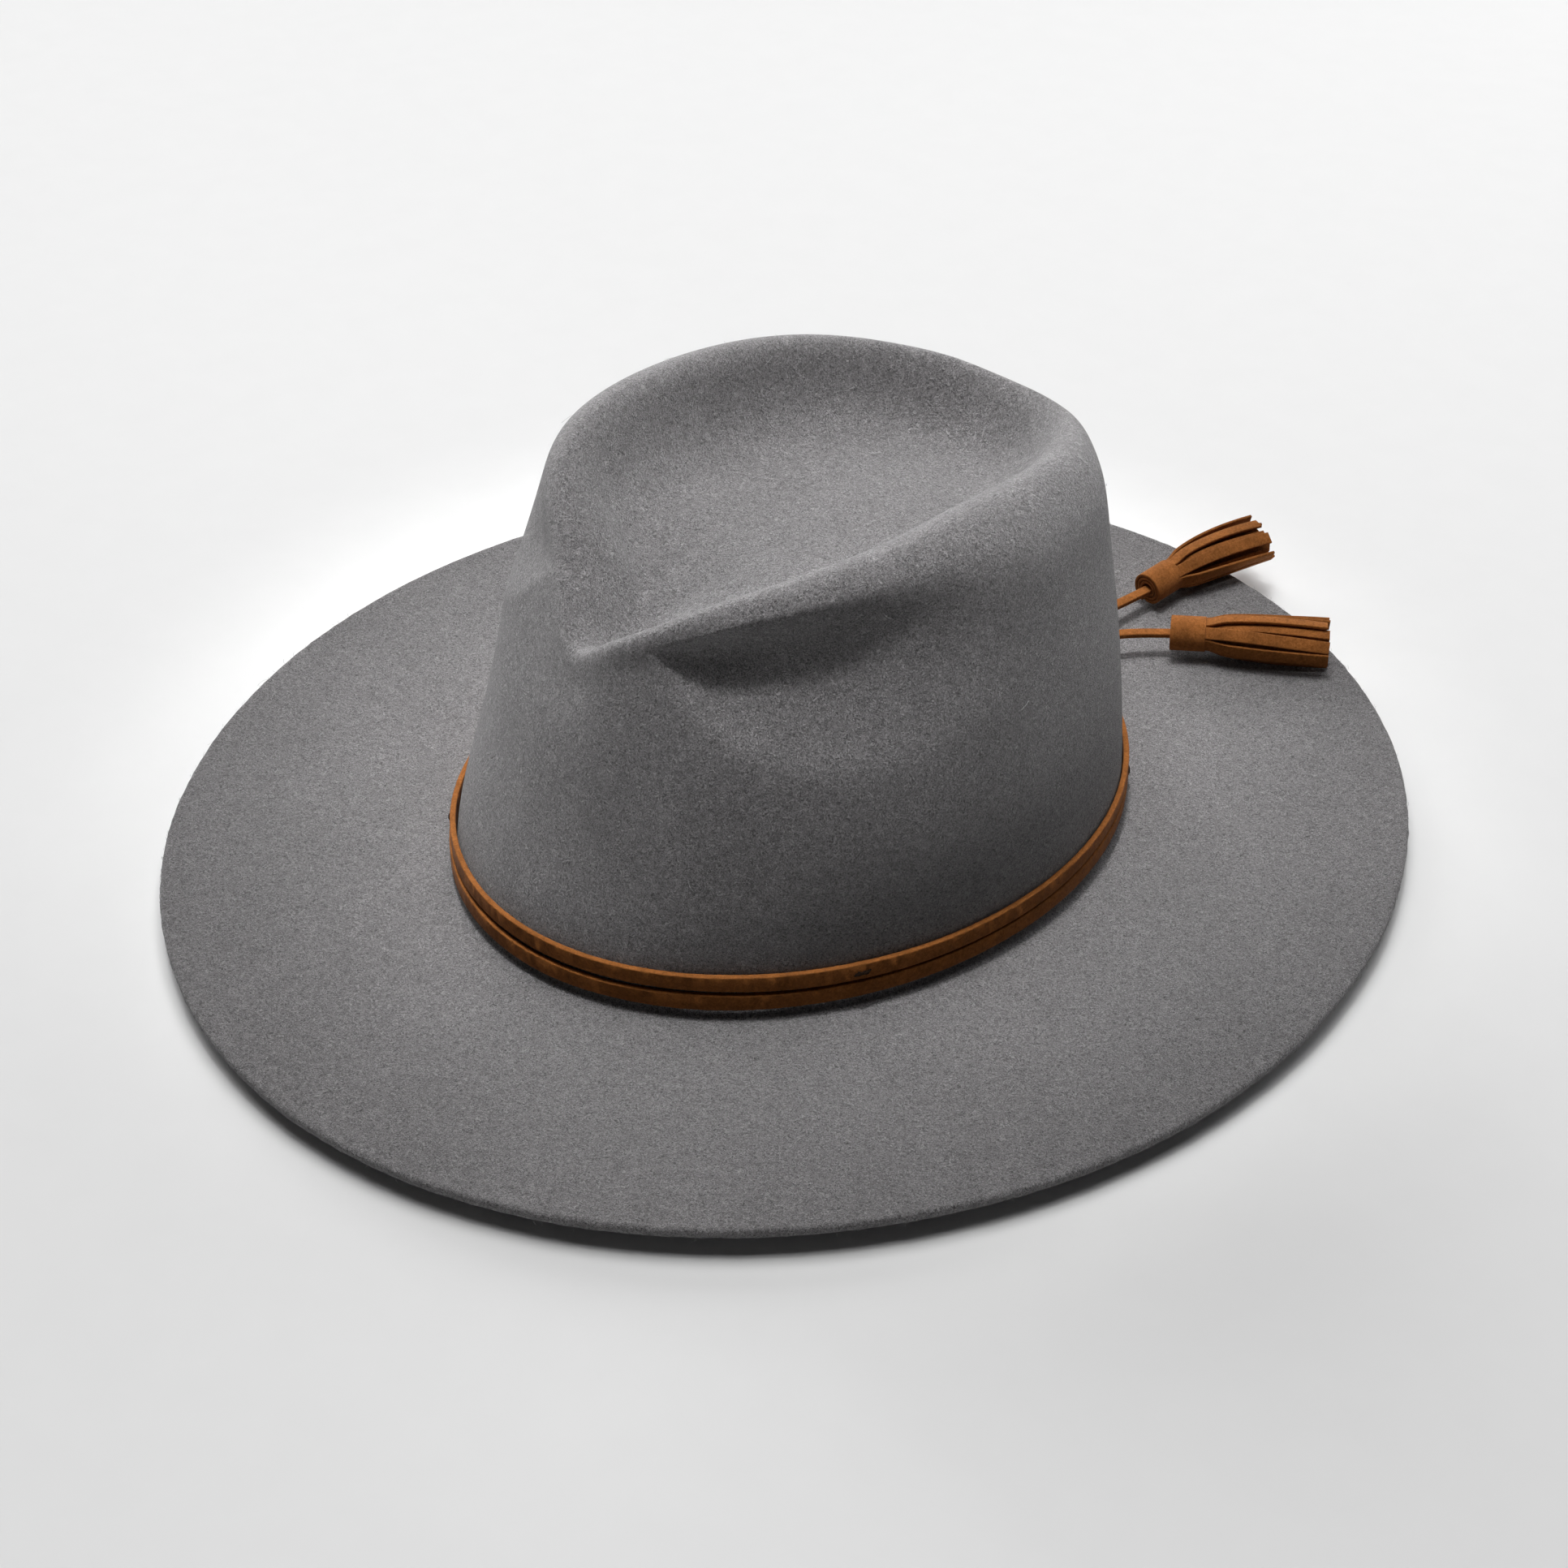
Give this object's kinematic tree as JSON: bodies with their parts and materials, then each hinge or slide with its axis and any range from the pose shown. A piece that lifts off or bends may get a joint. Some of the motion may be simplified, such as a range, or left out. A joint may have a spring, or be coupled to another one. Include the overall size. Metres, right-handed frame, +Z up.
{
  "type": "wide-brim felt hat",
  "caption": "Wide flat-brimmed grey wool felt hat with a teardrop crown, a doubled suede lace band and suede tassels at the back.",
  "frame": {"origin": "centre of the bottom of the hat without its tassels, on the flat ring of felt round the head opening", "axes": "+Z up out of the crown, -Y to the front of the hat, +X to the wearer's left"},
  "size_m": [0.3456, 0.3974, 0.1269],
  "materials": {
    "felt": "pressed mid-grey wool felt, short matted fibres, raw cut edge",
    "suede": "tan brown suede lace, napped, darker cut sides",
    "thread": "dark brown sewing thread",
    "sweatband_leather": "dark brown smooth hat leather",
    "ribbon": "dark grey ribbed ribbon",
    "label": "plain cream woven label, blank"
  },
  "bodies": {
    "hat": {"felt_body": "felt", "band_lace_upper": "suede", "band_lace_lower": "suede", "band_knot": "suede", "band_tack_front_left": "thread", "band_tack_front_right": "thread", "band_tack_back_left": "thread", "band_tack_back_right": "thread", "sweatband_thread": "thread", "sweatband": "sweatband_leather", "sweatband_reed": "sweatband_leather", "sweatband_seam_tape": "sweatband_leather", "bow_knot": "ribbon", "bow_loop_left": "ribbon", "bow_loop_right": "ribbon", "size_label": "label", "care_label": "label"},
    "tail_a": {"tassel_cord_a": "suede"},
    "tail_b": {"tassel_cord_b": "suede"},
    "fringe_a": {"tassel_a": "suede"},
    "fringe_b": {"tassel_b": "suede"}
  },
  "joints": [
    {"name": "tail_a_swing", "type": "hinge", "parent": "hat", "child": "tail_a", "pos_m": [-0.0165, 0.1104, 0.0124], "axis": [0, 0, 1], "range_deg": [0, 35]},
    {"name": "tassel_a_lift", "type": "hinge", "parent": "tail_a", "child": "fringe_a", "pos_m": [-0.0169, 0.156, 0.0137], "axis": [1, 0, 0], "range_deg": [0, 65]},
    {"name": "tail_b_swing", "type": "hinge", "parent": "hat", "child": "tail_b", "pos_m": [-0.0075, 0.1104, 0.0124], "axis": [0, 0, -1], "range_deg": [0, 30]},
    {"name": "tassel_b_lift", "type": "hinge", "parent": "tail_b", "child": "fringe_b", "pos_m": [0.0065, 0.1449, 0.0137], "axis": [0.6991, -0.7151, 0], "range_deg": [0, 65]}
  ]
}
